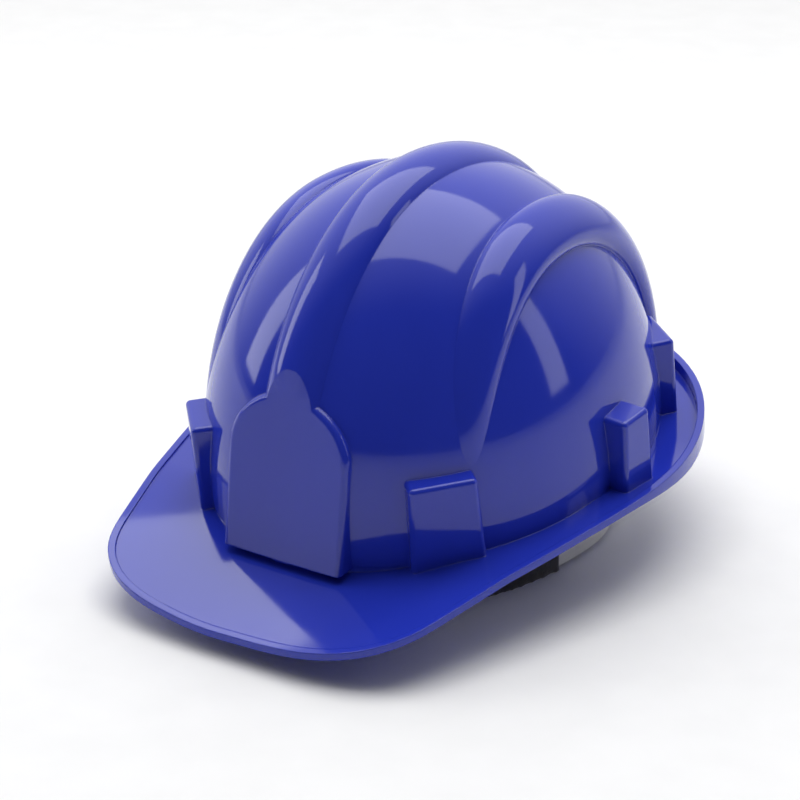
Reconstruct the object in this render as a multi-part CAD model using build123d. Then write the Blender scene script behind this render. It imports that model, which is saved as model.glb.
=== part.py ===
from build123d import *
import math
import os

# Hard hat with a front visor, standing on its headband. Millimetres.
# +Z is up and the wearer faces -Y, so +X is the wearer's left. The origin is the middle of the
# whole hat's footprint, on the surface it stands on.

# ---------------------------------------------------------------- driving dimensions

# The shell is drawn level about the middle of its dome's base, then tipped and lifted onto the band.
HAT_TIP = 8.0
HAT_Y = 8.5
HAT_Z = 46.2

# Dome: half width, reach to the front and to the back, height
DOME_W = 100.0
DOME_FRONT = 115.5
DOME_REAR = 133.0
DOME_H = 136.0
WALL = 2.5

# Centre rib and the two side ribs
CENTRE_RIB_HALF = 16.2
CENTRE_RIB_RISE = 13.0
CENTRE_RIB_FRONT = 108.0
CENTRE_RIB_REAR = 121.0
CENTRE_RIB_TOP = 126.6
CENTRE_RIB_LIFT = 2.6
SIDE_RIB_HALF = 14.0
SIDE_RIB_RISE = 8.0
SIDE_RIB_FRONT = 83.5
SIDE_RIB_REAR = 107.2
SIDE_RIB_TOP = 103.5
SIDE_RIB_CENTRE = (57.5, 9.2, 7.0)
SIDE_RIB_TURN = 5.0
SIDE_RIB_LEAN = 42.0
RIB_FOOT = 4.0
PLATE_TRIM = 0.2
RIB_STATIONS = 24

# Front plate
PLATE_FACE = 118.7
PLATE_LEAN = math.degrees(math.atan(0.26))
PLATE_HALF = 32.2
PLATE_SPRING = 47.0
PLATE_RISE = 28.5
PLATE_DEPTH = 26.0
PLATE_ROUND = 3.0

# Brim: half outline of the rim from front to back, visor droop, gutter
RIM_HALF_OUTLINE = [
    (34.0, -163.4), (58.0, -158.4), (72.5, -150.3), (82.5, -138.5), (89.5, -120.0),
    (96.3, -96.0), (103.0, -71.0), (111.5, -36.0), (119.2, 12.5), (82.0, 109.7),
]
RIM_FRONT = -164.8
RIM_REAR = 145.0
BRIM_THICK = 2.4
BRIM_LIFT = 1.0
VISOR_BEND_Y = -74.5
VISOR_SECTION = [(-100.0, -3.0), (-124.5, -6.9), (-166.0, -13.7)]
GUTTER_START_Y = -20.0
GUTTER_FULL_Y = 60.0
GUTTER_DEPTH = 7.0
BASE_OVERLAP = 0.6
COLLAR_STEP = 0.3
COLLAR_TOP = 3.0
BEAD_WIDTH = 3.4
BEAD_LIFT = 0.8
BEAD_DROP = 0.3
GUTTER_LIP = 2.0
RIM_STATIONS = 48
SPAN = 180.0

# Socket bumps: direction of the face, distance of the face, sideways offset, half width, height
SOCKET_FRONT = (-43.4, 111.7, -16.3, 17.2, 40.0)
SOCKET_SIDE = (-4.0, 108.6, 16.0, 11.5, 35.0)
SOCKET_REAR = (51.5, 119.5, 0.0, 17.0, 32.0)
SOCKET_BLOCK = 8.2
SOCKET_BUMP_DEPTH = 22.0
BUMP_SINK = 0.7
SOCKET_WALL = 2.2
SOCKET_TAPER = 4.0
SOCKET_ROUND = 2.4
SLOT_HALF = 13.0
SIDE_SLOT_HALF = 7.5
SLOT_THICK = 3.6
SLOT_TOP_WALL = 4.0

# Headband, standing upright: the back is a half circle, the front a half ellipse
BAND_R = 76.0
BAND_FRONT = 117.0
BAND_Y = HAT_Y + 20.0
BAND_THICK = 1.6
BAND_Z = 2.0
BAND_HEIGHT = 32.0
BAND_OPEN = 30.0
HANGER_HALF = 9.0

# Sweatband
SWEAT_END_Y = HAT_Y - 5.0
SWEAT_INNER = 3.2
SWEAT_OUTER = 1.2
SWEAT_FLAP = 16.0
SWEAT_TOP = 37.0

# Nape straps and the adjuster that draws them together
STRAP_GAP = 0.3
STRAP_THICK = 1.4
STRAP_HALF_H = 10.5
ADJUST_Z = 20.0
STRAP_TIP = 24.4
STRAP_END = 62.0
WINDOW_ANGLE = 20.8
MODULE = 1.0
TEETH = 12
BACKLASH = 0.22
RACK_ADDENDUM = 0.75
RACK_DEDENDUM = 1.15
WINDOW_CLEAR = 7.5
KEEPER_ANGLE = 47.0
KEEPER_HALF = 3.0
HOUSING_ANGLE = 21.0
HOUSING_HALF_H = 18.0
KNOB_R = 18.0
KNOB_DEPTH = 10.0
KNOB_GRIPS = 18
RING_R = 13.0
RING_DEPTH = 5.0
RING_TEETH = 24
TOOTH_DEPTH = 1.4
SHAFT_R = 3.2
SHAFT_CLEAR = 0.08
SCREW_R = 1.2
SCREW_LENGTH = 6.0
SCREW_ANGLE_IN = 2.6
SCREW_Z_IN = 3.2
SCREW_HEAD = 1.2
BASE_THICK = 0.4
PRESSURE_ANGLE = math.radians(20.0)
PINION_DEDENDUM = 1.05
PINION_ADDENDUM = 0.7
PINION_LENGTH = 2 * STRAP_THICK + 3 * STRAP_GAP
PINION_START = BAND_R + BAND_THICK + 0.1
COVER_FLOOR = BAND_R + BAND_THICK + 2 * STRAP_THICK + 3 * STRAP_GAP + 0.6
COVER_BACK = COVER_FLOOR + 2.0
RING_BACK = COVER_BACK + RING_DEPTH
RING_FLOOR = COVER_BACK + 0.4
RING_WALL = 2.6
PAWL_THICK = 2.4
PAWL_GAP = 0.5
PAWL_ARM = 1.6
PAWL_CLEAR = 0.4
HUB_R = SHAFT_R + 2.4
KNOB_START = COVER_BACK + 1.0
KNOB_SEAT = 1.8
SHAFT_LENGTH = KNOB_START + KNOB_DEPTH - KNOB_SEAT - PINION_START - PINION_LENGTH - 0.1
PAD_THICK = 4.0
PAD_OVERLAP = 8.0

# Crown straps
CROWN_HALF_WIDTH = 10.0
CROWN_THICK = 1.2
CROWN_BASE_Z = 30.0
CROWN_RISE = 118.0
STRAP_STEP = 0.8
PATCH_Y = 4.0
PATCH_R = 15.0
PATCH_THICK = 1.0
PATCH_DROP = 1.5

# Suspension keys
KEY_FIT = 0.25
KEY_ARM_HALF = 11.0
KEY_ARM_THICK = 4.0
KEY_PLATE = 2.2
KEY_PLATE_HEIGHT = 14.0
STUD_R = 3.2
STUD_SHANK_R = 1.5
STUD_HEAD = 1.2
STUD_LIFT = 3.6
KEY_FOOT = {SOCKET_FRONT: -6.0, SOCKET_REAR: -13.0}

os.makedirs("parts", exist_ok=True)
HAT = Pos(0, HAT_Y, HAT_Z) * Rot(HAT_TIP, 0, 0)


def save(node, solid):
    """Write one piece, by the name a person would use for it."""
    export_step(solid, f"parts/{node}.step")


def single(shape):
    """The one solid of a boolean's result, without slivers."""
    return max(shape.solids(), key=lambda s: s.volume)


# ---------------------------------------------------------------- shell

def dome(inset):
    """The dome's outside, or its hollow where it is inset by the wall, down to just below its base."""
    height = DOME_H - inset
    low = BASE_OVERLAP / height
    halves = []
    for length, sign in ((DOME_FRONT, -1), (DOME_REAR, 1)):
        keep = Pos(0, sign, 1.0 - low) * Box(4, 2, 2)
        half = Sphere(1.0) & keep
        halves.append(scale(half, by=(DOME_W - inset, length - inset, height)))
    return halves[0] + halves[1]


def above(depth):
    """Everything above a level a little under the dome's base, inside the brim's thickness."""
    return Pos(0, 0, SPAN / 2 - depth) * Box(2 * SPAN, 2 * SPAN, SPAN)


def rib_section(half_width, rise, lean, top):
    """An upright oval across the top of a rib, leaning with the dome under it."""
    ring = []
    for i in range(RIB_STATIONS):
        a = 2 * math.pi * i / RIB_STATIONS
        spot = Vector(half_width * math.cos(a), rise * math.sin(a)).rotate(Axis.Z, lean)
        ring.append((spot.X, top + spot.Y))
    return Plane.XZ * make_face(Spline(*ring, periodic=True))


def hoop(half_width, rise, lean, front, rear, top):
    """A rib's hoop: its section bent over the dome, down to the front and down to the back."""
    section = rib_section(half_width, rise, lean, top)
    turn = 90.0 + math.degrees(math.asin(RIB_FOOT / top))
    halves = []
    for length, sign in ((front, 1), (rear, -1)):
        half = single(revolve(section, Axis.X, sign * turn))
        halves.append(Part() + scale(half, by=(1.0, length / top, 1.0)))
    return halves[0] + halves[1]


def centre_rib(inset):
    reach = (CENTRE_RIB_FRONT, CENTRE_RIB_REAR, CENTRE_RIB_TOP)
    ring = hoop(CENTRE_RIB_HALF - inset, CENTRE_RIB_RISE - inset, 0, *reach)
    return single(Pos(0, 0, CENTRE_RIB_LIFT) * ring - ahead_of_plate(inset))


def ahead_of_plate(inset):
    """The space in front of the plate's face, where the dome and the centre rib are trimmed off."""
    space = Pos(0, PLATE_TRIM - SPAN / 2, 0) * Box(2 * PLATE_HALF, SPAN, 2 * SPAN)
    return Pos(0, -PLATE_FACE + inset, 0) * Rot(-PLATE_LEAN, 0, 0) * space


def side_rib(side, inset):
    """A side rib, leaning outwards with the dome's slope and turned in towards the back."""
    x, y, z = SIDE_RIB_CENTRE
    reach = (SIDE_RIB_FRONT, SIDE_RIB_REAR, SIDE_RIB_TOP)
    ring = hoop(SIDE_RIB_HALF - inset, SIDE_RIB_RISE - inset, -side * SIDE_RIB_LEAN, *reach)
    return Pos(side * x, y, z) * Rot(0, 0, side * SIDE_RIB_TURN) * ring


def front_plate(inset):
    """The arched plate on the brow, leaning back with the dome."""
    half = PLATE_HALF - inset
    top = PLATE_SPRING + PLATE_RISE - inset
    arch = make_face(
        [
            Line((-half, -WALL), (half, -WALL)),
            Line((half, -WALL), (half, PLATE_SPRING)),
                EllipticalCenterArc((0, PLATE_SPRING), half, top - PLATE_SPRING, start_angle=0, arc_size=180),
            Line((-half, PLATE_SPRING), (-half, -WALL)),
        ]
    )
    block = extrude(Plane.XZ * arch, -PLATE_DEPTH)
    if inset == 0:
        rim = block.faces().sort_by(Axis.Y)[0].edges()
        block = fillet([e for e in rim if e.center().Z > 0], PLATE_ROUND)
    level = (2.0 if inset == 0 else 1.5) * BASE_OVERLAP
    return Pos(0, -PLATE_FACE + inset, 0) * Rot(-PLATE_LEAN, 0, 0) * block & above(level)


def socket_place(socket, side):
    """Where a socket's face meets the brim: X along the face, Z up, Y into the dome."""
    turn, reach, offset = socket[:3]
    a = math.radians(turn)
    x = reach * math.cos(a) - offset * math.sin(a)
    y = reach * math.sin(a) + offset * math.cos(a)
    if side < 0:
        x, turn = -x, 180.0 - turn
    return Pos(x, y, 0) * Rot(0, 0, turn + 90.0)


def socket_bump(socket, side, depth):
    """The rounded box moulded over one key's slot."""
    half, height = socket[3:]
    outline = Polygon(
        (-half, -GUTTER_DEPTH - 1), (half, -GUTTER_DEPTH - 1),
        (half - SOCKET_TAPER / 2, height), (-half + SOCKET_TAPER / 2, height),
        align=None,
    )
    block = extrude(Plane.XZ * outline, -depth)
    face = block.faces().sort_by(Axis.Y)[0]
    rims = [e for e in face.edges() if e.center().Z > 0]
    middle = [e for e in block.edges() if abs(e.center().Y - depth / 2) < 1]
    uprights = [e for e in middle if e.center().Z > height / 2]
    block = fillet(rims + uprights, SOCKET_ROUND)
    return socket_place(socket, side) * block


def socket_back(socket, side):
    """The thick wall behind a socket's slot, inside the dome."""
    half, height = socket[3:]
    low = BRIM_LIFT + BASE_OVERLAP - BRIM_THICK - (GUTTER_DEPTH if socket is SOCKET_REAR else 0.0)
    top = height - SOCKET_TAPER
    box = Box(2 * (half - 3.0), SOCKET_BLOCK - 1.0, top - low, align=(Align.CENTER, Align.MIN, Align.MIN))
    return socket_place(socket, side) * Pos(0, 1.0, low) * box


def socket_slot(socket, side):
    """The pocket that a key's tongue is pushed up into."""
    half = SIDE_SLOT_HALF if socket is SOCKET_SIDE else SLOT_HALF
    top = socket[4] - SLOT_TOP_WALL
    low = -GUTTER_DEPTH - 4 * BRIM_THICK
    box = Box(2 * half, SLOT_THICK, top - low, align=(Align.CENTER, Align.MIN, Align.MIN))
    return socket_place(socket, side) * Pos(0, SOCKET_WALL, low) * box


def rim_outline(inset):
    """The brim's outline seen from above, or a line that runs inside it."""
    half = RIM_HALF_OUTLINE
    ring = [(0.0, RIM_FRONT)] + half + [(0.0, RIM_REAR)] + [(-x, y) for x, y in reversed(half)]
    rim = Spline(*ring, periodic=True)
    if inset > 0:
        inner = []
        for i in range(RIM_STATIONS):
            along = rim % (i / RIM_STATIONS)
            inner.append(rim @ (i / RIM_STATIONS) + Vector(-along.Y, along.X) * inset)
        rim = Spline(*inner, periodic=True)
    return make_face(rim)


def brim_sheet(top_lift, depth, gutter_lift):
    """A bent sheet across the whole hat: level sides, drooping visor, sunk gutter at the back."""
    sink = -GUTTER_DEPTH + gutter_lift
    visor = [(VISOR_BEND_Y, 0.0)] + VISOR_SECTION
    visor = [(y, z + top_lift) for y, z in visor]
    edges = [
        Spline(*visor, tangents=[(-1, 0), (-1, -0.17)]),
        Line((VISOR_BEND_Y, top_lift), (GUTTER_START_Y, top_lift)),
        Spline((GUTTER_START_Y, top_lift), (GUTTER_FULL_Y, sink + top_lift), tangents=[(1, 0), (1, 0)]),
        Line((GUTTER_FULL_Y, sink + top_lift), (SPAN, sink + top_lift)),
        Line((SPAN, sink + top_lift), (SPAN, -GUTTER_DEPTH - depth)),
        Line((SPAN, -GUTTER_DEPTH - depth), (GUTTER_FULL_Y, -GUTTER_DEPTH - depth)),
        Spline((GUTTER_FULL_Y, -GUTTER_DEPTH - depth), (GUTTER_START_Y, -depth), tangents=[(-1, 0), (-1, 0)]),
        Line((GUTTER_START_Y, -depth), (VISOR_BEND_Y, -depth)),
        Spline(*[(y, z - top_lift - depth) for y, z in visor], tangents=[(-1, 0), (-1, -0.17)]),
        Line((visor[-1][0], visor[-1][1] - top_lift - depth), visor[-1]),
    ]
    return Pos(0, 0, BRIM_LIFT) * extrude(Plane.YZ * make_face(edges), SPAN, both=True)


def make_shell():
    column = extrude(rim_outline(0.0), SPAN / 2, both=True)
    core = extrude(rim_outline(BEAD_WIDTH), SPAN / 2, both=True)
    thick = brim_sheet(BEAD_LIFT, BRIM_THICK + BEAD_DROP, GUTTER_DEPTH - GUTTER_LIP)
    above_sheet = Pos(0, 0, SPAN) * brim_sheet(0.0, SPAN, 0.0)
    below_sheet = Pos(0, 0, -BRIM_THICK) * brim_sheet(0.0, SPAN / 4, 0.0)
    brim = single(thick & column)
    brim = single(brim - single(above_sheet & core))
    brim = single(brim - single(below_sheet & core))
    pairs = [(socket, side) for socket in (SOCKET_FRONT, SOCKET_SIDE, SOCKET_REAR) for side in (1, -1)]
    raised = [collar(0, GUTTER_DEPTH + BRIM_THICK) & above_brim(1.0)]
    raised += [centre_rib(0), side_rib(1, 0), side_rib(-1, 0), front_plate(0)]
    for socket, side in pairs:
        raised.append(socket_bump(socket, side, SOCKET_BUMP_DEPTH) & above_brim(BUMP_SINK))
    hollow = [dome(WALL) - ahead_of_plate(WALL), collar(WALL, SPAN / 2)]
    hollow += [centre_rib(WALL), side_rib(1, WALL), side_rib(-1, WALL), front_plate(WALL)]
    body = single(brim + single(dome(0) - ahead_of_plate(0)))
    for piece in raised:
        body = single(body + single(piece))
    for space in hollow:
        body = single(body - single(space))
    for socket, side in pairs:
        body = single(body + socket_back(socket, side))
    for socket, side in pairs:
        body = single(body - socket_slot(socket, side))
    return body


def dome_base(inset):
    """The dome's oval at its base."""
    oval = None
    for length, sign in ((DOME_FRONT - inset, -1), (DOME_REAR - inset, 1)):
        half = Ellipse(DOME_W - inset, length) & (Pos(0, sign * SPAN / 2) * Rectangle(2 * SPAN, SPAN))
        oval = half if oval is None else oval + half
    return oval


def collar(inset, depth):
    """The dome's wall, or its hollow, carried down from the base to the gutter."""
    oval = dome_base(inset + COLLAR_STEP)
    return Pos(0, 0, -depth) * extrude(oval, depth + COLLAR_TOP)


def above_brim(share):
    """All the space above a level inside the brim's thickness."""
    return Pos(0, 0, SPAN) * brim_sheet(0.0, SPAN + share * BRIM_THICK, 0.0)


# ---------------------------------------------------------------- headband

def band_arc(r_in, r_out, z_low, z_high, start, end):
    """A wall bent round the back of the head, from one angle to another off straight back."""
    ring = Cylinder(r_out, z_high - z_low) - Cylinder(r_in, z_high - z_low)
    wedge = make_face(
        [
            Line((0, 0), polar(2 * BAND_R, start)),
            Line(polar(2 * BAND_R, start), polar(3 * BAND_R, (start + end) / 2)),
            Line(polar(3 * BAND_R, (start + end) / 2), polar(2 * BAND_R, end)),
            Line(polar(2 * BAND_R, end), (0, 0)),
        ]
    )
    piece = ring & extrude(wedge, BAND_R, both=True)
    return Pos(0, BAND_Y, (z_low + z_high) / 2) * piece


def polar(radius, angle):
    """A point off straight back by an angle, positive towards the wearer's left."""
    a = math.radians(angle)
    return (radius * math.sin(a), radius * math.cos(a))


def band_face(grow):
    """The band's plan, filled in: round at the back, longer at the front."""
    r, front = BAND_R + grow, BAND_FRONT + grow
    rear_half = Circle(r) & (Pos(0, r) * Rectangle(4 * r, 2 * r))
    front_half = Ellipse(r, front) & (Pos(0, -front) * Rectangle(4 * r, 2 * front))
    return Pos(0, BAND_Y) * (rear_half + front_half)


def band_wall(inner, outer, z_low, z_high):
    return Pos(0, 0, z_low) * extrude(band_face(outer) - band_face(inner), z_high - z_low)


def hanger_spots():
    """Each key's foot under the brim, and the point on the band that it hangs from."""
    spots = {}
    for name, socket, side in KEYS:
        foot = Pos(0, SOCKET_WALL + SLOT_THICK / 2, KEY_FOOT[socket])
        p = (HAT * socket_place(socket, side) * foot).position
        reach = math.hypot(p.X, p.Y - BAND_Y)
        flat = Vector(p.X, p.Y - BAND_Y).normalized()
        stretch = BAND_R if p.Y > BAND_Y else BAND_FRONT
        on_band = 1.0 / math.hypot(flat.X / (BAND_R + BAND_THICK), flat.Y / (stretch + BAND_THICK))
        spots[name] = (p, flat, on_band, reach)
    return spots


def frame_at(flat, distance, z):
    """A place on the ray from the head's middle: X along the band, Y inwards, Z up."""
    turn = math.degrees(math.atan2(flat.Y, flat.X)) + 90.0
    return Pos(flat.X * distance, BAND_Y + flat.Y * distance, z) * Rot(0, 0, turn)


KEYS = [
    ("front_left_key", SOCKET_FRONT, 1),
    ("front_right_key", SOCKET_FRONT, -1),
    ("rear_left_key", SOCKET_REAR, 1),
    ("rear_right_key", SOCKET_REAR, -1),
]


def make_headband():
    band = band_wall(0, BAND_THICK, BAND_Z, BAND_Z + BAND_HEIGHT)
    opening = band_arc(BAND_R - 5, BAND_R + 5, -1, BAND_Z + BAND_HEIGHT + 1, -BAND_OPEN, BAND_OPEN)
    band = band - opening
    for p, flat, on_band, reach in hanger_spots().values():
        top = max(p.Z + KEY_PLATE_HEIGHT / 2, BAND_Z + BAND_HEIGHT)
        low = BAND_Z + BAND_HEIGHT - 6
        tab = band_wall(0, BAND_THICK, low, top + 2) & (
            frame_at(flat, on_band, (low + top) / 2) * Box(2 * HANGER_HALF, 24, 3 * BAND_HEIGHT)
        )
        band = band + single(tab)
        band = band - stud_holes(flat, on_band, p.Z + STUD_LIFT)
    for side in (1, -1):
        layer = 0 if side > 0 else 1
        band = band + keeper(side, layer)
    return single(band)


def stud_holes(flat, on_band, z):
    return frame_at(flat, on_band, z) * Rot(90, 0, 0) * Cylinder(STUD_SHANK_R + 0.1, 20)


def strap_radius(layer):
    """The inner radius of a nape strap: the left one lies inside the right one."""
    return BAND_R + BAND_THICK + STRAP_GAP + layer * (STRAP_THICK + STRAP_GAP)


def keeper(side, layer):
    """The loop on the band that a nape strap slides through."""
    r = strap_radius(layer)
    out = r + STRAP_THICK + STRAP_GAP
    low, high = ADJUST_Z - STRAP_HALF_H - STRAP_GAP, ADJUST_Z + STRAP_HALF_H + STRAP_GAP
    a, b = side * (KEEPER_ANGLE - KEEPER_HALF), side * (KEEPER_ANGLE + KEEPER_HALF)
    start, end = min(a, b), max(a, b)
    shelf = BAND_THICK
    loop = band_arc(BAND_R + BAND_THICK / 2, out + shelf, low - shelf, high + shelf, start, end)
    space = band_arc(BAND_R + BAND_THICK, out, low, high, start - 2, end + 2)
    return single(loop - space)


def make_sweatband():
    """Foam covered in cloth: a pad inside the band, folded under it and up its outside."""
    whole = band_wall(-SWEAT_INNER, BAND_THICK + SWEAT_OUTER, 0, SWEAT_TOP)
    channel = band_wall(0, BAND_THICK, BAND_Z, SWEAT_TOP + 1)
    above_flap = band_wall(0, BAND_THICK + SWEAT_OUTER + 2, SWEAT_FLAP, SWEAT_TOP + 1)
    rear = Pos(0, SWEAT_END_Y + SPAN / 2, 0) * Box(SPAN * 2, SPAN, SPAN)
    return single(whole - channel - above_flap - rear)


# ---------------------------------------------------------------- suspension keys and studs

def make_key(name, socket, side):
    p, flat, on_band, reach = hanger_spots()[name]
    top = socket[4] - 2 * SLOT_TOP_WALL
    foot = KEY_FOOT[socket]
    tongue = HAT * socket_place(socket, side) * Pos(0, SOCKET_WALL + KEY_FIT, foot) * Box(
        2 * (SLOT_HALF - KEY_FIT), SLOT_THICK - 2 * KEY_FIT, top - foot,
        align=(Align.CENTER, Align.MIN, Align.MIN),
    )
    length = reach - on_band + KEY_ARM_THICK / 2
    arm = frame_at(flat, on_band, p.Z) * Box(
        2 * KEY_ARM_HALF, length, KEY_ARM_THICK, align=(Align.CENTER, Align.MAX, Align.MAX)
    )
    plate = frame_at(flat, on_band, p.Z) * Box(
        2 * HANGER_HALF, KEY_PLATE + 2, KEY_PLATE_HEIGHT, align=(Align.CENTER, Align.MAX, Align.CENTER)
    )
    body = single(single(tongue + arm) + plate)
    body = body - extrude(Pos(0, 0, -SPAN) * band_face(BAND_THICK + 0.02), 2 * SPAN)
    return single(single(body) - stud_holes(flat, on_band, p.Z + STUD_LIFT))


def make_studs():
    """Snap studs through the key's plate into the band's tab."""
    depth = KEY_PLATE + 2.0
    studs = []
    for p, flat, on_band, reach in hanger_spots().values():
        place = frame_at(flat, on_band, p.Z + STUD_LIFT)
        length = depth + BAND_THICK - BASE_THICK
        shank = Pos(0, length / 2 - depth, 0) * Rot(90, 0, 0) * Cylinder(STUD_SHANK_R, length)
        cap = Pos(0, -depth - STUD_HEAD / 2, 0) * Rot(90, 0, 0) * Cylinder(STUD_R, STUD_HEAD)
        studs.append(place * single(shank + cap))
    return Compound(studs)


# ---------------------------------------------------------------- crown straps

def crown_strap(front_key, rear_key, lift):
    spots = hanger_spots()
    ends = []
    for name in (front_key, rear_key):
        p, flat, on_band, reach = spots[name]
        mid = (on_band + reach) / 2
        ends.append(Vector(flat.X * mid, BAND_Y + flat.Y * mid, p.Z))
    run = Vector(ends[1].X - ends[0].X, ends[1].Y - ends[0].Y)
    half = run.length / 2
    centre = Vector((ends[0].X + ends[1].X) / 2, (ends[0].Y + ends[1].Y) / 2)
    rise = CROWN_RISE + lift
    outer = Ellipse(half + CROWN_THICK / 2, rise + CROWN_THICK) - Ellipse(half - CROWN_THICK / 2, rise)
    place = Pos(centre.X, centre.Y, CROWN_BASE_Z) * Rot(0, 0, math.degrees(math.atan2(run.Y, run.X)))
    hoop_solid = place * extrude(Plane.XZ * outer, CROWN_HALF_WIDTH, both=True)
    low_front = Pos(ends[0].X, ends[0].Y, ends[0].Z - SPAN / 2) * Box(SPAN / 2, SPAN / 2, SPAN)
    low_rear = Pos(ends[1].X, ends[1].Y, ends[1].Z - SPAN / 2) * Box(SPAN / 2, SPAN / 2, SPAN)
    under = Pos(centre.X, centre.Y, -SPAN / 2 + min(ends[0].Z, ends[1].Z)) * Box(2 * SPAN, 2 * SPAN, SPAN)
    return single(hoop_solid - under - low_front - low_rear)


def make_crown_patch():
    """The round patch sewn under the straps' crossing."""
    top = CROWN_BASE_Z + CROWN_RISE - PATCH_DROP
    return Pos(0, HAT_Y + PATCH_Y, top - PATCH_THICK / 2) * Cylinder(PATCH_R, PATCH_THICK)


# ---------------------------------------------------------------- nape straps and adjuster

def nape_strap(side):
    """A strap with a toothed window: teeth along the top on the left strap, bottom on the right."""
    layer = 0 if side > 0 else 1
    r = strap_radius(layer)
    low, high = ADJUST_Z - STRAP_HALF_H, ADJUST_Z + STRAP_HALF_H
    a, b = -side * STRAP_TIP, side * STRAP_END
    strap = band_arc(r, r + STRAP_THICK, low, high, min(a, b), max(a, b))
    pitch_r = MODULE * TEETH / 2
    root = pitch_r + RACK_DEDENDUM
    tip = pitch_r - RACK_ADDENDUM
    up, down = (tip, -WINDOW_CLEAR) if side > 0 else (WINDOW_CLEAR, -tip)
    window = band_arc(r - 1, r + STRAP_THICK + 1, ADJUST_Z + down, ADJUST_Z + up, -WINDOW_ANGLE, WINDOW_ANGLE)
    strap = single(strap - window)
    mean = r + STRAP_THICK / 2
    step = math.degrees(math.pi * MODULE / mean)
    count = int(WINDOW_ANGLE / step)
    half_pitch_line = math.pi * MODULE / 4 + BACKLASH / 2
    slope = math.tan(PRESSURE_ANGLE)
    wide = half_pitch_line + RACK_ADDENDUM * slope
    narrow = half_pitch_line - RACK_DEDENDUM * slope
    gap = Polygon((-wide, tip - 0.3), (wide, tip - 0.3), (narrow, root), (-narrow, root), align=None)
    if side < 0:
        gap = mirror(gap, Plane.XZ)
    cutter = extrude(Plane.XZ * gap, -3 * STRAP_THICK)
    cutters = []
    for i in range(-count, count + 1):
        turn = Pos(0, BAND_Y, ADJUST_Z) * Rot(0, 0, -i * step) * Pos(0, r - STRAP_THICK, 0)
        cutters.append(turn * cutter)
    return single(strap.cut(*[single(c) for c in cutters]))


def involute_half_angle(radius):
    """Half the angle that a pinion tooth fills at a radius."""
    pitch_r = MODULE * TEETH / 2
    base_r = pitch_r * math.cos(PRESSURE_ANGLE)
    at_pitch = (math.pi * MODULE / 2 - BACKLASH) / (2 * pitch_r)
    roll = math.acos(min(1.0, base_r / max(radius, base_r)))
    return at_pitch + involute(PRESSURE_ANGLE) - involute(roll)


def involute(angle):
    return math.tan(angle) - angle


def make_pinion():
    """The pinion in the straps' windows, in one piece with its shaft."""
    pitch_r = MODULE * TEETH / 2
    base_r = pitch_r * math.cos(PRESSURE_ANGLE)
    root_r = pitch_r - PINION_DEDENDUM
    tip_r = pitch_r + PINION_ADDENDUM
    outline = []
    radii = [root_r, base_r, (base_r + pitch_r) / 2, pitch_r, (pitch_r + tip_r) / 2, tip_r]
    for i in range(TEETH):
        middle = math.pi / 2 + i * 2 * math.pi / TEETH
        for radius in radii:
            outline.append((radius, middle - involute_half_angle(radius)))
        for radius in reversed(radii):
            outline.append((radius, middle + involute_half_angle(radius)))
    points = [(radius * math.cos(a), radius * math.sin(a)) for radius, a in outline]
    gear = extrude(Plane.XZ * Polygon(*points, align=None), -PINION_LENGTH)
    shaft = Pos(0, PINION_LENGTH + SHAFT_LENGTH / 2, 0) * Rot(90, 0, 0) * Cylinder(SHAFT_R, SHAFT_LENGTH)
    pilot = Pos(0, PINION_LENGTH + SHAFT_LENGTH, 0) * Rot(90, 0, 0) * Cylinder(SCREW_R, 2 * SCREW_LENGTH)
    return Pos(0, BAND_Y + PINION_START, ADJUST_Z) * single(gear + shaft - pilot)


def make_adjuster_base():
    """The inner half of the adjuster, against the head."""
    low, high = ADJUST_Z - HOUSING_HALF_H, ADJUST_Z + HOUSING_HALF_H
    plate = band_arc(BAND_R - BASE_THICK, BAND_R + BAND_THICK, low, high, -HOUSING_ANGLE, HOUSING_ANGLE)
    return single(plate - cover_screw_space())


def cover_corners():
    """Where the cover's four screws start, their Y along the screw."""
    turns = (-HOUSING_ANGLE + SCREW_ANGLE_IN, HOUSING_ANGLE - SCREW_ANGLE_IN)
    levels = (ADJUST_Z - HOUSING_HALF_H + SCREW_Z_IN, ADJUST_Z + HOUSING_HALF_H - SCREW_Z_IN)
    return [Pos(0, BAND_Y, z) * Rot(0, 0, -turn) * Pos(0, BAND_R, 0) for turn in turns for z in levels]


def cover_screw_space():
    """The holes that the four corner screws go through."""
    length = 4 * KNOB_DEPTH
    return Compound([single(place * Rot(90, 0, 0) * Cylinder(SCREW_R, length)) for place in cover_corners()])


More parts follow.
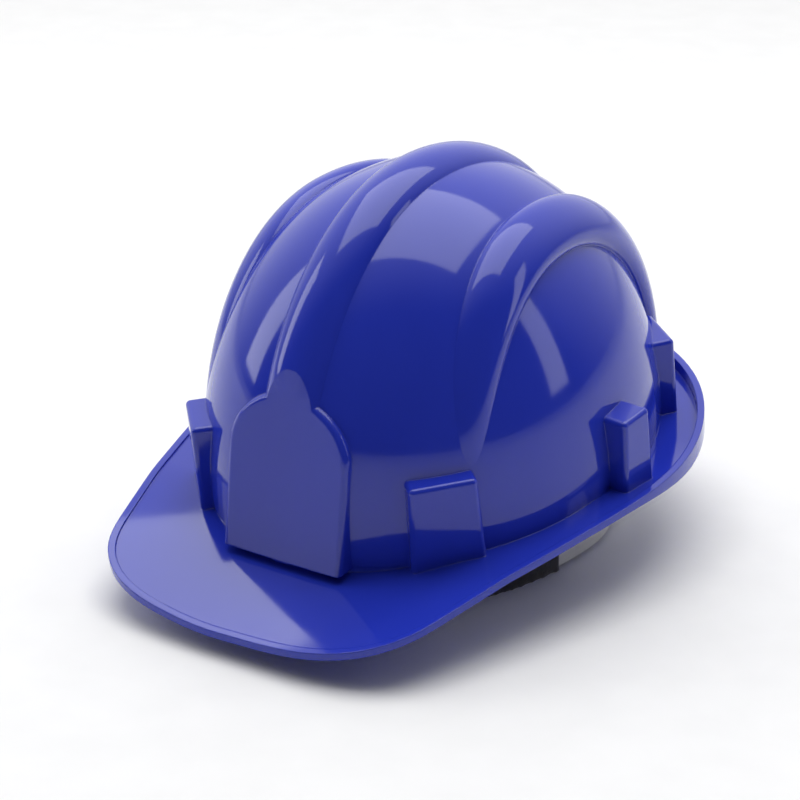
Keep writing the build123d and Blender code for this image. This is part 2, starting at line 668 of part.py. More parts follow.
def make_adjuster_cover():
    """The outer half, with the strap channel and the ratchet ring."""
    low, high = ADJUST_Z - HOUSING_HALF_H, ADJUST_Z + HOUSING_HALF_H
    block = band_arc(BAND_R + BAND_THICK, COVER_BACK, low, high, -HOUSING_ANGLE, HOUSING_ANGLE)
    channel = band_arc(
        BAND_R, COVER_FLOOR, ADJUST_Z - STRAP_HALF_H - STRAP_GAP, ADJUST_Z + STRAP_HALF_H + STRAP_GAP,
        -HOUSING_ANGLE - 2, HOUSING_ANGLE + 2,
    )
    body = block - channel
    boss = Cylinder(RING_R + RING_WALL, RING_BACK - COVER_FLOOR)
    body = body + Pos(0, BAND_Y + (COVER_FLOOR + RING_BACK) / 2, ADJUST_Z) * Rot(90, 0, 0) * boss
    gap_angle = 360.0 / RING_TEETH
    points = []
    for i in range(RING_TEETH):
        a = math.radians(i * gap_angle)
        b = math.radians((i + 0.5) * gap_angle)
        tip = RING_R - TOOTH_DEPTH
        points += [(RING_R * math.cos(a), RING_R * math.sin(a)), (tip * math.cos(b), tip * math.sin(b))]
    star = extrude(Plane.XZ * Polygon(*points, align=None), -SPAN)
    body = body - Pos(0, BAND_Y + RING_FLOOR, ADJUST_Z) * star
    hole = Pos(0, BAND_Y + COVER_BACK, ADJUST_Z) * Rot(90, 0, 0) * Cylinder(SHAFT_R + SHAFT_CLEAR, 20)
    return single(single(body - hole) - cover_screw_space())


def make_cover_screws():
    """Four self-tapping screws through the cover's corners into the base."""
    length = COVER_BACK - BAND_R
    shank = Pos(0, length / 2, 0) * Rot(90, 0, 0) * Cylinder(SCREW_R, length)
    head = Pos(0, length + SCREW_HEAD / 2, 0) * Rot(90, 0, 0) * Cylinder(2 * SCREW_R, SCREW_HEAD)
    cross = Pos(0, length + SCREW_HEAD, 0) * (Box(3.0, 1.0, 0.6) + Box(0.6, 1.0, 3.0))
    screw = single(single(shank + head) - cross)
    return Compound([place * screw for place in cover_corners()])


def make_pawl_disc():
    """A sprung disc on the shaft whose two arms click round the ring's teeth."""
    reach = RING_R - TOOTH_DEPTH - PAWL_CLEAR
    quarter = Pos(reach, reach, 0) * Box(2 * reach, 2 * reach, 2 * PAWL_THICK)
    disc = Cylinder(HUB_R, PAWL_THICK)
    for turn in (0, 180):
        arc = (Cylinder(reach, PAWL_THICK) - Cylinder(reach - PAWL_ARM, PAWL_THICK)) & quarter
        spoke = Pos(0, reach / 2, 0) * Box(PAWL_THICK, reach - PAWL_ARM / 2, PAWL_THICK)
        disc = disc + Rot(0, 0, turn) * (arc + spoke)
    disc = single(disc - Cylinder(SHAFT_R, 2 * PAWL_THICK))
    return Pos(0, BAND_Y + RING_FLOOR + PAWL_GAP + PAWL_THICK / 2, ADJUST_Z) * Rot(90, 0, 0) * disc


def make_knob():
    """The hand knob: a cap over the ring with grips round its edge."""
    cap = Pos(0, KNOB_DEPTH / 2, 0) * Rot(90, 0, 0) * Cylinder(KNOB_R, KNOB_DEPTH)
    rim = [e for e in cap.edges().filter_by(GeomType.CIRCLE) if e.center().Y > KNOB_DEPTH / 2]
    cap = fillet(rim, 2.0)
    inner_depth = RING_BACK - KNOB_START + PAWL_GAP
    hollow_r = RING_R + RING_WALL + PAWL_GAP
    cap = cap - Pos(0, inner_depth / 2, 0) * Rot(90, 0, 0) * Cylinder(hollow_r, inner_depth)
    hub_length = RING_BACK - RING_FLOOR - PAWL_THICK - 0.1
    cap = cap + Pos(0, inner_depth - hub_length / 2, 0) * Rot(90, 0, 0) * Cylinder(HUB_R, hub_length)
    for i in range(KNOB_GRIPS):
        groove = Rot(0, i * 360.0 / KNOB_GRIPS, 0) * Pos(KNOB_R + 0.9, KNOB_DEPTH / 2, 0) * Rot(90, 0, 0)
        cap = cap - groove * Cylinder(1.7, KNOB_DEPTH + 2)
    bore_depth = PINION_START + PINION_LENGTH + SHAFT_LENGTH - KNOB_START
    bore = Pos(0, bore_depth / 2 - 1, 0) * Rot(90, 0, 0) * Cylinder(SHAFT_R, bore_depth + 2)
    seat = Pos(0, KNOB_DEPTH - KNOB_SEAT / 2, 0) * Rot(90, 0, 0) * Cylinder(SHAFT_R + 0.2, KNOB_SEAT)
    line = Pos(0, KNOB_DEPTH, 0) * Rot(90, 0, 0) * Cylinder(SCREW_R, 2 * KNOB_DEPTH)
    cap = single(single(cap - bore) - seat) - line
    return Pos(0, BAND_Y + KNOB_START, ADJUST_Z) * single(cap)


def make_knob_screw():
    """The screw that holds the knob on the pinion's shaft."""
    head_depth = KNOB_SEAT - 0.4
    head = Pos(0, head_depth / 2, 0) * Rot(90, 0, 0) * Cylinder(SHAFT_R - 0.1, head_depth)
    shank = Pos(0, -SCREW_LENGTH / 2 + 0.2, 0) * Rot(90, 0, 0) * Cylinder(SCREW_R, SCREW_LENGTH)
    cross = Pos(0, head_depth, 0) * (Box(3.6, 1.2, 0.8) + Box(0.8, 1.2, 3.6))
    screw = single(single(head + shank) - cross)
    return Pos(0, BAND_Y + KNOB_START + KNOB_DEPTH - KNOB_SEAT, ADJUST_Z) * screw


def make_nape_pad():
    """The foam pad between the adjuster and the nape, clipped to the band's two ends."""
    reach = BAND_OPEN + PAD_OVERLAP
    outer = BAND_R - BASE_THICK
    return single(band_arc(outer - PAD_THICK, outer, 0, SWEAT_TOP, -reach, reach))


save("shell", HAT * make_shell())
save("headband", make_headband())
save("sweatband", make_sweatband())
save("nape_pad", make_nape_pad())
for key_name, key_socket, key_side in KEYS:
    save(key_name, make_key(key_name, key_socket, key_side))
save("hanger_studs", make_studs())
save("crown_strap_left", crown_strap("front_left_key", "rear_right_key", 0.0))
save("crown_strap_right", crown_strap("front_right_key", "rear_left_key", CROWN_THICK + STRAP_STEP))
save("crown_patch", make_crown_patch())
save("nape_strap_left", nape_strap(1))
save("nape_strap_right", nape_strap(-1))
save("adjuster_base", make_adjuster_base())
save("adjuster_cover", make_adjuster_cover())
save("cover_screws", make_cover_screws())
save("pinion", make_pinion())
save("pawl_disc", make_pawl_disc())
save("knob", make_knob())
save("knob_screw", make_knob_screw())
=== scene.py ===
import math

import bmesh
import bpy
import numpy as np
from mathutils import Matrix, Vector


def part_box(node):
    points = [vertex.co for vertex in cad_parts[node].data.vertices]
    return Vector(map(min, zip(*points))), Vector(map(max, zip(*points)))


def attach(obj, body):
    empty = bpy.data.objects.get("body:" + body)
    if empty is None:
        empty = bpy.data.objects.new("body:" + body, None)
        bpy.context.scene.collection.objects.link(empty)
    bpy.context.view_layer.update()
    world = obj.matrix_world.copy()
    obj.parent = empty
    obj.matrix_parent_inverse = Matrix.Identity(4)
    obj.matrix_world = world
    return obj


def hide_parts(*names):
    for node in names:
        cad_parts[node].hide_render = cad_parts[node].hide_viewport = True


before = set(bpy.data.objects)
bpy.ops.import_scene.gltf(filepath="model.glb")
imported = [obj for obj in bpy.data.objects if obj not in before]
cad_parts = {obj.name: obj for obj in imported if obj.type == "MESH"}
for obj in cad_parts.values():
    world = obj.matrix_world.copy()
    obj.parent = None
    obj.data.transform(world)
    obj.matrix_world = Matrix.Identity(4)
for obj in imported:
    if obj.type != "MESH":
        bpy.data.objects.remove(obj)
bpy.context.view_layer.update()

# ------------------------------------------------------------------ shell
# The shell is one injection moulding in glossy coloured polyethylene, about 2.5 mm thick. Its ribs,
# brow plate, key sockets, rolled rim and rear gutter are all drawn in the same tool, so each face is
# smooth and each inner corner keeps the small round that the tool's cutter left.

MM = 0.001
HAT_TIP = math.radians(8.0)
HAT_PLACE = (0.0, 8.5, 46.2)
WALL = 2.5
DOME = {"half": 100.0, "front": 115.5, "rear": 133.0, "top": 136.0}
CENTRE_RIB = {"x": 0.0, "y": 0.0, "z": 2.6, "turn": 0.0, "lean": 0.0, "half": 16.2, "rise": 13.0,
              "front": 108.0, "rear": 121.0, "top": 126.6}
SIDE_RIB = {"x": 57.5, "y": 9.2, "z": 7.0, "turn": 5.0, "lean": 42.0, "half": 14.0, "rise": 8.0,
            "front": 83.5, "rear": 107.2, "top": 103.5}
VISOR_BEND = -74.5
VISOR_SLOPE = 0.169
VISOR_EASE = 11.5
VISOR_CEILING = 4.0
VISOR_CUTS = 22
VISOR_CUT_HALF = 95.0
DISH_HALF = 117.0
DISH_CEILING = 9.0
DISH_FADE = 5.0

SHARED_TURN = math.radians(35)
SKIN_STEP = 0.05
SKIN_REACH = 0.16
SKIN_AGREEMENT = 0.86
VISOR_STEP = 0.5
VISOR_AGREEMENT = 0.97
VISOR_TOP = 6.0
VISOR_REAR = -20.0


def hat_view(points):
    """Points of the standing hat, in millimetres, seen level from the middle of the dome's base."""
    p = points / MM - np.array(HAT_PLACE)
    c, s = math.cos(HAT_TIP), math.sin(HAT_TIP)
    return np.column_stack([p[:, 0], p[:, 1] * c + p[:, 2] * s, p[:, 2] * c - p[:, 1] * s])


def standing(vectors):
    """Directions of the level hat, turned to the standing hat."""
    c, s = math.cos(HAT_TIP), math.sin(HAT_TIP)
    return np.column_stack([vectors[:, 0], vectors[:, 1] * c - vectors[:, 2] * s,
                            vectors[:, 1] * s + vectors[:, 2] * c])


def dome_skin(p, inset):
    """How far outside the dome's oval skin each point is, as a share of its size."""
    length = np.where(p[:, 1] < 0, DOME["front"], DOME["rear"]) - inset
    across, along, up = p[:, 0] / (DOME["half"] - inset), p[:, 1] / length, p[:, 2] / (DOME["top"] - inset)
    return across ** 2 + along ** 2 + up ** 2 - 1


def rib_skin(p, rib, side, inset):
    """The same for a rib, whose oval section leans with the dome under it."""
    x, y = p[:, 0] - side * rib["x"], p[:, 1] - rib["y"]
    turn, lean = math.radians(side * rib["turn"]), math.radians(side * rib["lean"])
    across = x * math.cos(turn) + y * math.sin(turn)
    along = y * math.cos(turn) - x * math.sin(turn)
    up = p[:, 2] - rib["z"]
    reach = np.where(along < 0, rib["front"], rib["rear"]) / rib["top"]
    out = np.hypot(along / reach, up) - rib["top"]
    u = across * math.cos(lean) - out * math.sin(lean)
    v = across * math.sin(lean) + out * math.cos(lean)
    return (u / (rib["half"] - inset)) ** 2 + (v / (rib["rise"] - inset)) ** 2 - 1


def skin_slope(skin, p):
    """Which way a skin faces at each point, and how steeply its measure grows."""
    rise = []
    for axis in range(3):
        move = np.zeros(3)
        move[axis] = SKIN_STEP
        rise.append((skin(p + move) - skin(p - move)) / (2 * SKIN_STEP))
    grown = np.column_stack(rise)
    size = np.linalg.norm(grown, axis=1)
    return grown / np.maximum(size, 1e-9)[:, None], size


def visor_droop(y):
    """The height of the drooping visor under its bend, before it is dished."""
    ahead = np.maximum(VISOR_BEND - y, 0.0)
    return -VISOR_SLOPE * ahead * ahead / (ahead + VISOR_EASE)


def visor_facing(p):
    """Which way the dished visor's top faces at each point."""
    rise_y = (visor_droop(p[:, 1] + VISOR_STEP) - visor_droop(p[:, 1] - VISOR_STEP)) / (2 * VISOR_STEP)
    dish = 1.0 - (p[:, 0] / DISH_HALF) ** 2
    rise_x = visor_droop(p[:, 1]) * (-2.0 * p[:, 0] / DISH_HALF ** 2)
    facing = np.column_stack([-rise_x, -rise_y * dish, np.ones(len(p))])
    return facing / np.linalg.norm(facing, axis=1)[:, None]


def is_visor(face):
    """Whether a face belongs to the visor, ahead of its bend and low on the hat."""
    middle = face.calc_center_median() / MM
    ahead, up = middle.y - HAT_PLACE[1], middle.z - HAT_PLACE[2]
    c, s = math.cos(HAT_TIP), math.sin(HAT_TIP)
    return ahead * c + up * s < VISOR_BEND and up * c - ahead * s < VISOR_CEILING


def merged_copy(node, name):
    """A copy of a CAD node with its loose triangles joined up."""
    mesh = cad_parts[node].data.copy()
    mesh.materials.clear()
    piece = bpy.data.objects.new(name, mesh)
    bpy.context.scene.collection.objects.link(piece)
    bm = bmesh.new()
    bm.from_mesh(mesh)
    bmesh.ops.remove_doubles(bm, verts=bm.verts, dist=2e-6)
    bm.to_mesh(mesh)
    bm.free()
    return piece


def smooth(mesh):
    """Shades every face of a mesh smooth."""
    for face in mesh.polygons:
        face.use_smooth = True


def mesh_values(items, name, width=1, kind=np.float64):
    """One named value of every vertex, face or corner, as an array."""
    values = np.empty(len(items) * width, dtype=kind)
    items.foreach_get(name, values)
    return values.reshape(-1, width) if width > 1 else values


def cut_visor(mesh):
    """Cuts the long visor triangles across, so that the visor can be dished."""
    bm = bmesh.new()
    bm.from_mesh(mesh)
    for i in range(1, VISOR_CUTS):
        x = (-1.0 + 2.0 * i / VISOR_CUTS) * (VISOR_CUT_HALF * MM)
        faces = [face for face in bm.faces if is_visor(face)]
        edges = list({edge for face in faces for edge in face.edges})
        verts = list({vert for face in faces for vert in face.verts})
        bmesh.ops.bisect_plane(bm, geom=verts + edges + faces, plane_co=(x, 0, 0), plane_no=(1, 0, 0),
                               dist=1e-6)
    bmesh.ops.triangulate(bm, faces=bm.faces)
    bm.to_mesh(mesh)
    bm.free()


def dish_visor(mesh):
    """Raises the visor towards its corners, less and less above it, and returns the mesh's points."""
    spots = mesh_values(mesh.vertices, "co", 3)
    level = hat_view(spots)
    droop = visor_droop(level[:, 1])
    near = np.clip((DISH_CEILING - (level[:, 2] - droop)) / DISH_FADE, 0.0, 1.0)
    lift = np.zeros_like(spots)
    lift[:, 2] = -droop * (level[:, 0] / DISH_HALF) ** 2 * near
    spots = spots + standing(lift) * MM
    mesh.vertices.foreach_set("co", spots.ravel())
    mesh.update()
    return spots


def shared_normals(points, normals, areas, limit):
    """Corner normals that a point's larger faces lead, across any turn smaller than the limit."""
    order = np.argsort(points, kind="stable")
    starts = np.flatnonzero(np.diff(points[order], prepend=-1))
    shared = normals.copy()
    for corners in np.split(order, starts[1:]):
        close = normals[corners] @ normals[corners].T > math.cos(limit)
        total = close @ (normals[corners] * areas[corners, None])
        shared[corners] = total / np.maximum(np.linalg.norm(total, axis=1), 1e-12)[:, None]
    return shared


def whole_face(values, choose):
    """The same value at a triangle's three corners, chosen among theirs."""
    return np.repeat(choose(values.reshape(-1, 3), axis=1), 3)


def shell_skins():
    """The smooth skins that the moulding's outside and inside follow."""
    skins = []
    for inset in (0.0, WALL):
        skins.append(lambda p, i=inset: dome_skin(p, i))
        skins.append(lambda p, i=inset: rib_skin(p, CENTRE_RIB, 1, i))
        skins.append(lambda p, i=inset: rib_skin(p, SIDE_RIB, 1, i))
        skins.append(lambda p, i=inset: rib_skin(p, SIDE_RIB, -1, i))
    return skins


def shell_normals(mesh, spots):
    """Corner normals of the smooth dome, ribs and visor that the mesh's flat triangles stand for."""
    points = mesh_values(mesh.loops, "vertex_index", kind=np.int64)
    face_normals = np.repeat(mesh_values(mesh.polygons, "normal", 3), 3, axis=0)
    face_areas = np.repeat(mesh_values(mesh.polygons, "area"), 3)
    normals = shared_normals(points, face_normals, face_areas, SHARED_TURN)
    level = hat_view(spots)[points]

    best = np.full(len(level), SKIN_AGREEMENT)
    for skin in shell_skins():
        facing, size = skin_slope(skin, level)
        away = whole_face(np.abs(skin(level)) / np.maximum(size, 1e-6), np.max)
        facing = standing(facing)
        agree = (facing * face_normals).sum(axis=1)
        least = whole_face(np.abs(agree), np.min)
        good = (away < SKIN_REACH) & (least > best)
        normals[good] = facing[good] * np.sign(agree[good])[:, None]
        best[good] = least[good]

    facing = standing(visor_facing(level))
    agree = (facing * face_normals).sum(axis=1)
    good = whole_face(np.abs(agree), np.min) > VISOR_AGREEMENT
    good &= whole_face(level[:, 2], np.max) < VISOR_TOP
    good &= whole_face(level[:, 1], np.max) < VISOR_REAR
    good &= best <= SKIN_AGREEMENT
    normals[good] = facing[good] * np.sign(agree[good])[:, None]
    return normals


shell = merged_copy("shell", "helmet_shell")
cut_visor(shell.data)
shell_spots = dish_visor(shell.data)
smooth(shell.data)
shell.data.normals_split_custom_set([tuple(n) for n in shell_normals(shell.data, shell_spots)])


def new_material(name):
    """A bare material with its shader and texture place ready."""
    material = bpy.data.materials.new(name)
    material.use_nodes = True
    nodes, links = material.node_tree.nodes, material.node_tree.links
    return material, nodes, links, nodes["Principled BSDF"], nodes.new("ShaderNodeTexCoord").outputs["Object"]


def noise(nodes, links, place, scale, detail=2.0, roughness=0.5, stretch=(1.0, 1.0, 1.0)):
    """A soft random pattern, in metres, stretched along an axis where asked."""
    mapping = nodes.new("ShaderNodeMapping")
    mapping.inputs["Scale"].default_value = stretch
    links.new(place, mapping.inputs["Vector"])
    pattern = nodes.new("ShaderNodeTexNoise")
    pattern.inputs["Scale"].default_value = scale
    pattern.inputs["Detail"].default_value = detail
    pattern.inputs["Roughness"].default_value = roughness
    links.new(mapping.outputs["Vector"], pattern.inputs["Vector"])
    return pattern.outputs["Fac"]


def two_tones(nodes, links, amount, low, high, low_at=0.35, high_at=0.65):
    """A colour that runs from one tone to another with a pattern."""
    ramp = nodes.new("ShaderNodeValToRGB")
    first, last = ramp.color_ramp.elements
    first.position, last.position = low_at, high_at
    first.color, last.color = (*low, 1.0), (*high, 1.0)
    links.new(amount, ramp.inputs["Fac"])
    return ramp.outputs["Color"]


def between(nodes, links, amount, low, high):
    """A number that runs from low to high with a pattern."""
    spread = nodes.new("ShaderNodeMapRange")
    spread.inputs["From Min"].default_value = 0.3
    spread.inputs["From Max"].default_value = 0.7
    spread.inputs["To Min"].default_value = low
    spread.inputs["To Max"].default_value = high
    links.new(amount, spread.inputs["Value"])
    return spread.outputs["Result"]


def bumped(nodes, links, height, strength, distance, under=None):
    """A raised surface from a pattern, its distance in metres."""
    bump = nodes.new("ShaderNodeBump")
    bump.inputs["Strength"].default_value = strength
    bump.inputs["Distance"].default_value = distance
    links.new(height, bump.inputs["Height"])
    if under is not None:
        links.new(under, bump.inputs["Normal"])
    return bump.outputs["Normal"]


def rounded_corners(nodes, radius, samples):
    """A shading normal that rounds a moulding's corners, its radius in millimetres."""
    corner = nodes.new("ShaderNodeBevel")
    corner.samples = samples
    corner.inputs["Radius"].default_value = radius * MM
    return corner.outputs["Normal"]


def glossy_blue():
    """Deep blue polyethylene off a polished tool: faint flow marks, fine scuffs, soft small corners."""
    material, nodes, links, shader, place = new_material("glossy_blue")
    flow = noise(nodes, links, place, 14.0, detail=3.0, roughness=0.55, stretch=(1.0, 1.0, 0.5))
    links.new(two_tones(nodes, links, flow, (0.0175, 0.0350, 0.440), (0.0205, 0.0400, 0.475)),
              shader.inputs["Base Color"])
    scuffs = noise(nodes, links, place, 55.0, detail=5.0, roughness=0.62, stretch=(1.0, 0.35, 1.0))
    links.new(between(nodes, links, scuffs, 0.06, 0.105), shader.inputs["Roughness"])
    shader.inputs["IOR"].default_value = 1.5
    corners = rounded_corners(nodes, radius=0.8, samples=6)
    ripple = noise(nodes, links, place, 120.0, detail=1.0, roughness=0.4)
    links.new(bumped(nodes, links, ripple, strength=0.05, distance=0.00008, under=corners),
              shader.inputs["Normal"])
    return material


shell.data.materials.append(glossy_blue())
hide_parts("shell")
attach(shell, "hat")

# ------------------------------------------------------------------ headband, straps, keys
# The headband and its two nape straps are moulded in off-white polyethylene, the four suspension
# keys and their snap studs in nylon, all with a fine satin face. The keys push up into the shell's
# sockets, and the studs rivet them to the band's tabs.


def satin_plastic(name, low, high, grain, rough):
    """Satin moulded plastic with a fine grain and slightly uneven colour."""
    material, nodes, links, shader, place = new_material(name)
    cloud = noise(nodes, links, place, 30.0, detail=3.0)
    links.new(two_tones(nodes, links, cloud, low, high), shader.inputs["Base Color"])
    spread = noise(nodes, links, place, 160.0, detail=3.0)
    links.new(between(nodes, links, spread, *rough), shader.inputs["Roughness"])
    corners = rounded_corners(nodes, radius=0.4, samples=4)
    fine = noise(nodes, links, place, grain)
    links.new(bumped(nodes, links, fine, strength=0.25, distance=0.00006, under=corners),
              shader.inputs["Normal"])
    return material


def finish_nodes(material, nodes):
    """Gives carried-over CAD nodes their finish."""
    for node in nodes:
        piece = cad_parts[node]
        if not piece.data.materials:
            piece.data.materials.append(material)
        for slot in piece.material_slots:
            slot.material = material


off_white = satin_plastic("off_white_band", (0.62, 0.62, 0.60), (0.72, 0.72, 0.69), 900.0, (0.38, 0.5))
key_white = satin_plastic("key_nylon", (0.58, 0.57, 0.52), (0.68, 0.67, 0.61), 700.0, (0.42, 0.56))
finish_nodes(off_white, ["headband", "nape_strap_left", "nape_strap_right"])
finish_nodes(key_white, ["front_left_key", "front_right_key", "rear_left_key", "rear_right_key",
                         "hanger_studs"])

# ------------------------------------------------------------------ sweatband and nape pad
# The sweatband is thin foam wrapped in black brushed cloth, folded over the band's lower edge. The
# nape pad is the same stuff, a little thicker, clipped between the band's two ends.

FOAM_GRID = 1.7
FOAM_ROUNDS = 3


def brushed_cloth():
    """Black brushed polyester: a short nap and a soft sheen."""
    material, nodes, links, shader, place = new_material("brushed_cloth")
    nap = noise(nodes, links, place, 1400.0, detail=4.0, roughness=0.7)
    links.new(two_tones(nodes, links, nap, (0.006, 0.006, 0.007), (0.035, 0.034, 0.036), 0.38, 0.72),
              shader.inputs["Base Color"])
    shader.inputs["Roughness"].default_value = 0.95
    shader.inputs["Sheen Weight"].default_value = 0.35
    shader.inputs["Sheen Roughness"].default_value = 0.5
    weave = noise(nodes, links, place, 500.0, detail=3.0, roughness=0.6)
    raised = bumped(nodes, links, weave, strength=0.6, distance=0.0004)
    links.new(bumped(nodes, links, nap, strength=0.7, distance=0.0002, under=raised), shader.inputs["Normal"])
    return material


def unevenness(spot):
    """A slow wave through the foam, between -1 and 1, at a place in metres."""
    return math.sin(spot.x * 160.0) * math.sin(spot.y * 140.0 + 1.0) * math.sin(spot.z * 120.0)


def padded_copy(node, name, puff):
    """Foam in the place of a CAD solid: its edges rounded over and its faces slightly uneven."""
    piece = merged_copy(node, name)
    remesh = piece.modifiers.new("foam", "REMESH")
    remesh.mode = "VOXEL"
    remesh.voxel_size = FOAM_GRID * MM
    soften = piece.modifiers.new("soften", "SMOOTH")
    soften.factor = 0.5
    soften.iterations = FOAM_ROUNDS
    shape = bpy.context.evaluated_depsgraph_get()
    mesh = bpy.data.meshes.new_from_object(piece.evaluated_get(shape))
    piece.modifiers.clear()
    piece.data = mesh
    for vert in mesh.vertices:
        vert.co += vert.normal * (puff * unevenness(vert.co) * MM)
    smooth(mesh)
    return piece


cloth_black = brushed_cloth()
for node, name, fill, puff in (("sweatband", "cloth_sweatband", 0.5, 0.18),
                               ("nape_pad", "cloth_nape_pad", 0.6, 0.25)):
    pad = padded_copy(node, name, puff)
    pad.data.materials.append(cloth_black)
    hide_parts(node)
    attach(pad, "hat")

# ------------------------------------------------------------------ crown straps
# Two polyester webbing straps, 20 mm wide, cross over the crown, each from a front key to the rear
# key across from it. A round patch of pressed felt, sewn under the crossing, holds them together.

STRAP_BASE = 30.0
STRAP_END = 4.0
FRONT_FOOT_HEIGHT = 25.0
REAR_FOOT_Y = 30.0
REAR_FOOT_TOP = 60.0
STRAP_RUNS = 72
STRAP_ROWS = 6
TAPE_THICK = 1.2
TAPE_SHARE = 0.9
TAPE_EDGE = 0.3
PATCH_SIDES = 64
PATCH_EDGE = 0.3


def new_piece(name, bm):
    """A piece made from finished geometry."""
    mesh = bpy.data.meshes.new(name)
    bm.to_mesh(mesh)
    bm.free()
    piece = bpy.data.objects.new(name, mesh)
    bpy.context.scene.collection.objects.link(piece)
    return piece


def bands(nodes, links, place, direction, scale, distortion):
    """Parallel ribs across one direction of a flat pattern."""
    wave = nodes.new("ShaderNodeTexWave")
    wave.wave_type = "BANDS"
    wave.bands_direction = direction
    wave.inputs["Scale"].default_value = scale
    wave.inputs["Distortion"].default_value = distortion
    links.new(place, wave.inputs["Vector"])
    return wave.outputs["Fac"]


def webbing():
    """Woven polyester tape: ribs along it and picks across it."""
    material, nodes, links, shader, _ = new_material("woven_webbing")
    own = nodes.new("ShaderNodeUVMap")
    own.uv_map = "UVMap"
    both = nodes.new("ShaderNodeMath")
    both.operation = "MULTIPLY"
    links.new(bands(nodes, links, own.outputs["UV"], "X", 95.0, 0.4), both.inputs[0])
    links.new(bands(nodes, links, own.outputs["UV"], "Y", 4.5, 0.2), both.inputs[1])
    weave = both.outputs["Value"]
    links.new(two_tones(nodes, links, weave, (0.42, 0.42, 0.41), (0.72, 0.72, 0.70), 0.05, 0.6),
              shader.inputs["Base Color"])
    shader.inputs["Roughness"].default_value = 0.85
    shader.inputs["Sheen Weight"].default_value = 0.15
    links.new(bumped(nodes, links, weave, strength=0.8, distance=0.0004), shader.inputs["Normal"])
    return material


def strap_run(points):
    """The level direction that a CAD strap runs in, from its front foot to its rear foot."""
    ground, height = points[:, :2], points[:, 2]
    front = ground[(height < height.min() + FRONT_FOOT_HEIGHT) & (points[:, 1] < 0)].mean(axis=0)
    rear = ground[(points[:, 1] > REAR_FOOT_Y) & (height < REAR_FOOT_TOP)].mean(axis=0)
    return (rear - front) / np.linalg.norm(rear - front)


def crown_strap(node, name):
    """A flat tape laid along the arch that its CAD solid takes, with its rounded edges."""
    points = mesh_values(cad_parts[node].data.vertices, "co", 3) / MM
    run = strap_run(points)
    side = np.array([-run[1], run[0]])
    along, across = points[:, :2] @ run, points[:, :2] @ side
    middle = (along.max() + along.min()) / 2
    half = (along.max() - along.min()) / 2 - TAPE_THICK / 2
    middle_across = (across.max() + across.min()) / 2
    half_across = (across.max() - across.min()) / 2
    rise = points[:, 2].max() - STRAP_BASE - TAPE_THICK / 2
    front_height = points[along < along.min() + STRAP_END][:, 2].min() - STRAP_BASE
    rear_height = points[along > along.max() - STRAP_END][:, 2].min() - STRAP_BASE
    start = math.asin(front_height / rise)
    stop = math.pi - math.asin(rear_height / rise)

    bm = bmesh.new()
    bmesh.ops.create_grid(bm, x_segments=STRAP_RUNS, y_segments=STRAP_ROWS, size=1.0, calc_uvs=True)
    for vert in bm.verts:
        angle = start + (vert.co.x + 1.0) / 2.0 * (stop - start)
        level = run * (middle - half * math.cos(angle)) + side * (middle_across + vert.co.y * half_across)
        vert.co = Vector((level[0], level[1], STRAP_BASE + rise * math.sin(angle))) * MM
    bmesh.ops.recalc_face_normals(bm, faces=bm.faces)
    strap = new_piece(name, bm)
    smooth(strap.data)
    thick = strap.modifiers.new("thickness", "SOLIDIFY")
    thick.thickness = TAPE_THICK * MM * TAPE_SHARE
    thick.offset = 0.0
    edge = strap.modifiers.new("edge", "BEVEL")
    edge.width = TAPE_EDGE * MM
    edge.segments = 2
    return strap


tape = webbing()
for node, name in (("crown_strap_left", "webbing_strap_left"), ("crown_strap_right", "webbing_strap_right")):
    strap = crown_strap(node, name)
    strap.data.materials.append(tape)
    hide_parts(node)
    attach(strap, "hat")


def round_patch(node, name):
    """A flat disc in the place of its CAD solid, with its rim rounded over."""
    low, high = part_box(node)
    bm = bmesh.new()
    bmesh.ops.create_circle(bm, cap_ends=True, segments=PATCH_SIDES, radius=(high[0] - low[0]) / 2)
    raised = bmesh.ops.extrude_face_region(bm, geom=bm.faces[:])
    top = [item for item in raised["geom"] if isinstance(item, bmesh.types.BMVert)]
    bmesh.ops.translate(bm, verts=top, vec=(0, 0, high[2] - low[2]))
    rim = [edge for edge in bm.edges if edge.calc_face_angle(0.0) > 1.0]
    bmesh.ops.bevel(bm, geom=rim, offset=PATCH_EDGE * MM, offset_type="OFFSET", segments=3, profile=0.5,
                    affect="EDGES", material=-1)
    bmesh.ops.recalc_face_normals(bm, faces=bm.faces)
    bmesh.ops.translate(bm, verts=bm.verts, vec=((low[0] + high[0]) / 2, (low[1] + high[1]) / 2, low[2]))
    return new_piece(name, bm)


def felt_patch():
    """Grey pressed felt with a fine fibre."""
    material, nodes, links, shader, place = new_material("felt_patch")
    fibre = noise(nodes, links, place, 900.0, detail=4.0, roughness=0.65)
    links.new(two_tones(nodes, links, fibre, (0.30, 0.30, 0.30), (0.52, 0.52, 0.51)),
              shader.inputs["Base Color"])
    shader.inputs["Roughness"].default_value = 0.95
    links.new(bumped(nodes, links, fibre, strength=0.5, distance=0.0003), shader.inputs["Normal"])
    return material


patch = round_patch("crown_patch", "webbing_patch")
patch.data.materials.append(felt_patch())
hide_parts("crown_patch")
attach(patch, "hat")

# ------------------------------------------------------------------ adjuster
# The nape adjuster is a two-part black housing with a spark-textured face, a ratchet knob outside
# it, and an acetal pinion and pawl disc within. Its five small screws are zinc plated.

black = satin_plastic("textured_black", (0.012, 0.012, 0.014), (0.022, 0.022, 0.024), 1500.0, (0.42, 0.6))
acetal = satin_plastic("acetal", (0.66, 0.66, 0.63), (0.74, 0.74, 0.71), 600.0, (0.25, 0.35))


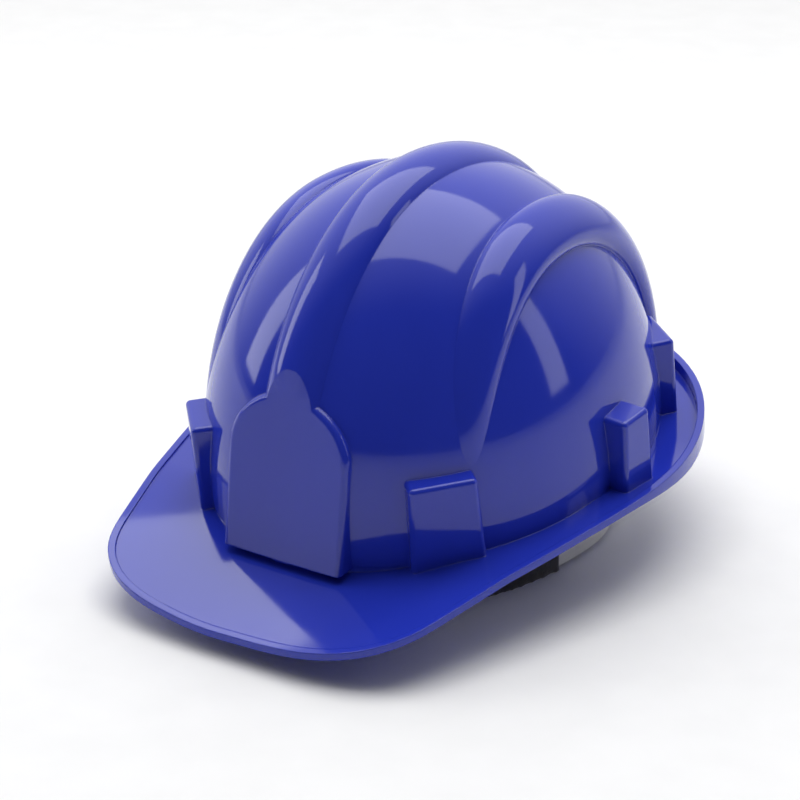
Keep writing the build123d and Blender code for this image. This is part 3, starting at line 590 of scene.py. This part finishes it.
def zinc_plate():
    """Zinc-plated steel, turned, with fine marks and dull patches."""
    material, nodes, links, shader, place = new_material("zinc_plate")
    marks = noise(nodes, links, place, 700.0, detail=4.0, roughness=0.6, stretch=(1.0, 6.0, 1.0))
    links.new(two_tones(nodes, links, marks, (0.42, 0.43, 0.44), (0.60, 0.61, 0.62)),
              shader.inputs["Base Color"])
    links.new(between(nodes, links, marks, 0.22, 0.4), shader.inputs["Roughness"])
    shader.inputs["Metallic"].default_value = 1.0
    links.new(bumped(nodes, links, marks, strength=0.2, distance=0.00005), shader.inputs["Normal"])
    return material


finish_nodes(black, ["adjuster_base", "adjuster_cover", "knob"])
finish_nodes(acetal, ["pinion", "pawl_disc"])
finish_nodes(zinc_plate(), ["cover_screws", "knob_screw"])

# ------------------------------------------------------------------ floor, lights and camera
# The hat stands on a pale seamless floor under a broad overhead soft box. The world is bright high
# up behind it and dim in front, so its sides stay deep in colour and its crown has a soft sheen.

FLOOR_HALF = 8.0
LAMP_AIM = (0.0, 0.0, 0.1)
BRIGHT_SIDE = (-0.42, 0.61, 0.67)
CAMERA_PLACE = (0.630663, -0.932404, 0.532062)
CAMERA_AIM = (-0.0015, -0.0138, 0.0726)


def pale_paper():
    """Matt pale paper, barely mottled."""
    material, nodes, links, shader, place = new_material("pale_paper")
    mottle = noise(nodes, links, place, 30.0, detail=3.0)
    links.new(two_tones(nodes, links, mottle, (0.86, 0.86, 0.862), (0.88, 0.88, 0.882)),
              shader.inputs["Base Color"])
    shader.inputs["Roughness"].default_value = 0.9
    return material


bm = bmesh.new()
bmesh.ops.create_grid(bm, x_segments=2, y_segments=2, size=FLOOR_HALF)
floor = new_piece("floor", bm)
floor.data.materials.append(pale_paper())


def put_facing(thing, place, aim):
    """Puts a lamp or a camera in the scene, turned to face a spot."""
    place, aim = Vector(place), Vector(aim)
    facing = (aim - place).to_track_quat("-Z", "Y")
    thing.matrix_world = Matrix.Translation(place) @ facing.to_matrix().to_4x4()
    bpy.context.scene.collection.objects.link(thing)


def soft_box(name, place, width, height, power):
    """A rectangular soft box turned to the hat."""
    lamp = bpy.data.lights.new(name, "AREA")
    lamp.shape = "RECTANGLE"
    lamp.size = width
    lamp.size_y = height
    lamp.energy = power
    put_facing(bpy.data.objects.new(name, lamp), place, LAMP_AIM)


soft_box("overhead_box", (-0.15, 0.35, 1.7), width=1.9, height=1.5, power=22.0)
soft_box("left_box", (-1.7, -0.6, 0.8), width=0.5, height=1.3, power=6.0)
soft_box("right_box", (1.7, 0.9, 0.8), width=0.4, height=1.2, power=3.0)


def studio_world():
    """Light all round that fades from a bright side to a dim one."""
    world = bpy.data.worlds.new("studio")
    world.use_nodes = True
    nodes, links = world.node_tree.nodes, world.node_tree.links
    toward = nodes.new("ShaderNodeTexCoord")
    facing = nodes.new("ShaderNodeVectorMath")
    facing.operation = "DOT_PRODUCT"
    facing.inputs[1].default_value = BRIGHT_SIDE
    links.new(toward.outputs["Generated"], facing.inputs[0])
    fade = nodes.new("ShaderNodeValToRGB")
    fade.color_ramp.interpolation = "EASE"
    dim, bright = fade.color_ramp.elements
    dim.position, bright.position = 0.05, 0.95
    dim.color, bright.color = (0.03, 0.03, 0.035, 1.0), (1.0, 1.0, 1.0, 1.0)
    links.new(facing.outputs["Value"], fade.inputs["Fac"])
    links.new(fade.outputs["Color"], nodes["Background"].inputs["Color"])
    nodes["Background"].inputs["Strength"].default_value = 1.15
    return world


bpy.context.scene.world = studio_world()
bpy.context.scene.view_settings.view_transform = "Standard"

lens = bpy.data.cameras.new("camera")
lens.lens = 117.43
lens.sensor_width = 36.0
lens.clip_end = 20.0
camera = bpy.data.objects.new("camera", lens)
put_facing(camera, CAMERA_PLACE, CAMERA_AIM)
bpy.context.scene.camera = camera

bpy.context.view_layer.update()
